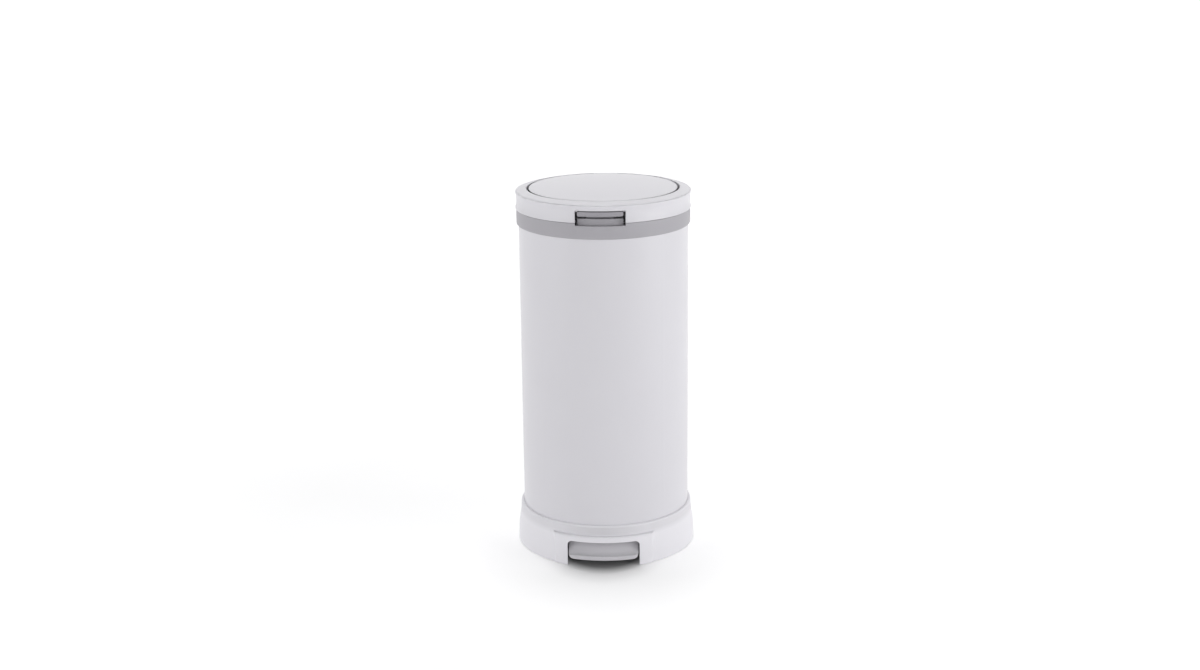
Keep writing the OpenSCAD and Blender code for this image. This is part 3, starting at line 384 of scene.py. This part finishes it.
def wound_spring():
    """Torsion spring of round wire wound on the latch pin, with a straight leg at each end."""
    low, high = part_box("latch_spring")
    wire, wire_sides = 0.0004, 10
    leg = 0.0036
    pin_y, pin_z = -0.1365, 0.618
    turns, steps = 8, 24
    first_x, last_x = low.x + wire, high.x - wire
    coil_radius = high.y - pin_y - wire
    pitch = (high.x - low.x - 2 * wire) / turns
    shape = bmesh.new()
    start = Matrix.Translation((first_x, pin_y + coil_radius, pin_z))
    ring = bmesh.ops.create_circle(shape, segments=wire_sides, radius=wire, matrix=start)
    bmesh.ops.spin(shape, geom=ring["verts"] + list(shape.edges), cent=(0, pin_y, pin_z), axis=(1, 0, 0),
                   dvec=(pitch / steps, 0, 0), angle=2 * math.pi * turns, steps=turns * steps)
    bmesh.ops.holes_fill(shape, edges=shape.edges)
    for x in (first_x, last_x):
        middle = Matrix.Translation((x, pin_y + coil_radius, pin_z - leg / 2))
        bmesh.ops.create_cone(shape, segments=wire_sides, cap_ends=True, radius1=wire, radius2=wire,
                              depth=leg, matrix=middle)
    bmesh.ops.recalc_face_normals(shape, faces=shape.faces)
    finish_piece(shape, "wound_spring", ground_steel, "top_ring", "latch_spring")


def tube_seam():
    """Flat seam that runs up the back of the steel tube, where its sheet is joined."""
    width, thickness = 0.0032, 0.0008
    sunk = 0.0001
    bottom, top = 0.0722, 0.5688
    tube_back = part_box("steel_tube")[1].y
    shape = bmesh.new()
    middle = Matrix.Translation((0, tube_back - sunk, (bottom + top) / 2))
    bmesh.ops.create_cube(shape, size=1, matrix=middle @ Matrix.Diagonal((width, thickness, top - bottom, 1)))
    upright = [edge for edge in shape.edges if abs(edge.verts[0].co.z - edge.verts[1].co.z) > width]
    rounded(shape, upright, offset=0.0003, segments=3)
    finish_piece(shape, "tube_seam", powder_coat, "bin")


def lid_edge_shade_strip():
    """Thin black strip round the lid's edge wall, open at the rear where the arm passes.

    It is painted shade: a dark piece that stands for the shade in the gap between lid and ring.
    """
    low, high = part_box("lid_dome")
    arm_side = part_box("lid_arm")[1].x
    inner, outer = high.x - 0.0002, high.x + 0.0009
    bottom, top = low.z + 0.0004, low.z + 0.0046
    blunted, rolled = 0.0003, 0.0006
    arm_room = 0.0015
    steps = 160
    half_gap = math.asin((arm_side + arm_room) / outer)
    shape = bmesh.new()
    start = Matrix.Rotation(math.pi / 2 + half_gap, 4, "Z")
    outline = ((inner, bottom), (outer - blunted, bottom), (outer, bottom + blunted), (outer, top - rolled),
               (outer - rolled, top), (inner, top))
    corners = [shape.verts.new(start @ Vector((radius, 0, level))) for radius, level in outline]
    section = shape.faces.new(corners)
    bmesh.ops.spin(shape, geom=[section, *section.edges, *section.verts], cent=(0, 0, 0), axis=(0, 0, 1),
                   angle=2 * (math.pi - half_gap), steps=steps)
    bmesh.ops.remove_doubles(shape, verts=shape.verts, dist=SAME_POINT)
    bmesh.ops.recalc_face_normals(shape, faces=shape.faces)
    finish_piece(shape, "lid_edge_shade_strip", black_rubber, "lid")


wound_spring()
tube_seam()
lid_edge_shade_strip()


# Floor, light and background

def white_to_the_camera(tree, dim, strength):
    """Output that is strength for rays from the camera, a mirror or glass, and dim for all other rays."""
    path = tree.nodes.new("ShaderNodeLightPath")
    seen_or_mirrored = computed(tree, "MAXIMUM", path.outputs["Is Camera Ray"], path.outputs["Is Glossy Ray"])
    any_of_them = computed(tree, "MAXIMUM", seen_or_mirrored, path.outputs["Is Transmission Ray"])
    return ramp(tree, any_of_them, 0.0, 1.0, dim, strength)


def white_paper():
    """Matt white floor with painted shadow under the bin, and a glow that camera and mirrors see.

    The painted shadow is a dark patch in the floor's colour. The glow lights nothing. It starts at the
    patch's edge, which paints the floor near the bin darker still, and rises with the distance, so that the
    floor melts into the white background.
    """
    painted_shadow_y, painted_shadow_narrowing = -0.03, 1.6
    painted_shadow_edge, white_from = 0.125, 0.160
    # Painted shadow: the floor's colour turns dark under the bin and out past its front
    dark, white = (0.38, 0.38, 0.385, 1), (0.95, 0.95, 0.955, 1)
    glow_beside, glow_afar = 0.31, 0.65
    beside_from, rises_from, rises_to = 0.200, 0.6, 3.0
    paper = bpy.data.materials.new("white_paper")
    paper.use_nodes = True
    tree = paper.node_tree
    matt = tree.nodes["Principled BSDF"]
    matt.inputs["Roughness"].default_value = 0.9
    matt.inputs["Specular IOR Level"].default_value = 0.1
    place = object_place(tree)
    patch = tree.nodes.new("ShaderNodeMapping")
    patch.inputs["Location"].default_value = (0, -painted_shadow_y, 0)
    patch.inputs["Scale"].default_value = (painted_shadow_narrowing, 1, 1)
    tree.links.new(place, patch.inputs["Vector"])
    from_painted_shadow = length_of(tree, patch.outputs["Vector"])
    outside_painted_shadow = ramp(tree, from_painted_shadow, painted_shadow_edge, white_from, 0.0, 1.0)
    tree.links.new(mixed(tree, outside_painted_shadow, dark, white), matt.inputs["Base Color"])

    # Painted shadow too: the glow is held back near the bin, so the floor there stays darker
    beside = ramp(tree, from_painted_shadow, painted_shadow_edge, beside_from, 0.0, glow_beside)
    outward = ramp(tree, length_of(tree, place), rises_from, rises_to, beside, glow_afar)
    glow = tree.nodes.new("ShaderNodeEmission")
    tree.links.new(white_to_the_camera(tree, 0.0, outward), glow.inputs["Strength"])
    both = tree.nodes.new("ShaderNodeAddShader")
    tree.links.new(matt.outputs["BSDF"], both.inputs[0])
    tree.links.new(glow.outputs["Emission"], both.inputs[1])
    tree.links.new(both.outputs["Shader"], tree.nodes["Material Output"].inputs["Surface"])
    return paper


def lay_floor():
    """Wide white floor that keeps the bin's shadow, with more shadow painted under the bin."""
    half_side = 16
    shape = bmesh.new()
    bmesh.ops.create_grid(shape, x_segments=1, y_segments=1, size=half_side)
    mesh = bpy.data.meshes.new("studio_floor")
    shape.to_mesh(mesh)
    shape.free()
    mesh.materials.append(white_paper())
    shown("studio_floor", mesh)


def light_background():
    """White background, which lights the bin more from the horizon than from above."""
    at_horizon, overhead = 1.3, 0.0
    world = bpy.data.worlds.new("studio")
    bpy.context.scene.world = world
    world.use_nodes = True
    tree = world.node_tree
    sky = tree.nodes["Background"]
    sky.inputs["Color"].default_value = (1, 1, 1, 1)
    parts = tree.nodes.new("ShaderNodeSeparateXYZ")
    tree.links.new(tree.nodes.new("ShaderNodeTexCoord").outputs["Generated"], parts.inputs["Vector"])
    room_light = ramp(tree, parts.outputs["Z"], 0.0, 1.0, at_horizon, overhead)
    tree.links.new(white_to_the_camera(tree, room_light, 1.0), sky.inputs["Strength"])


def hang_lamps():
    """Soft lamps: one over and behind the bin, and a wide one on each side."""
    for name, place, aim, size, power in (
            ("soft_lamp_top", (-0.05, 0.45, 3.0), (0, 0, 0.3), 0.7, 21.0),
            ("soft_lamp_right", (2.7, -1.0, 1.0), (0, 0, 0.35), 1.8, 22.0),
            ("soft_lamp_left", (-2.5, -1.3, 1.0), (0, 0, 0.35), 1.8, 11.0)):
        lamp = bpy.data.lights.new(name, "AREA")
        lamp.size = size
        lamp.energy = power
        toward = (Vector(aim) - Vector(place)).to_track_quat("-Z", "Y")
        shown(name, lamp).matrix_world = Matrix.Translation(place) @ toward.to_matrix().to_4x4()


lay_floor()
light_background()
hang_lamps()
bpy.context.scene.view_settings.view_transform = "Standard"
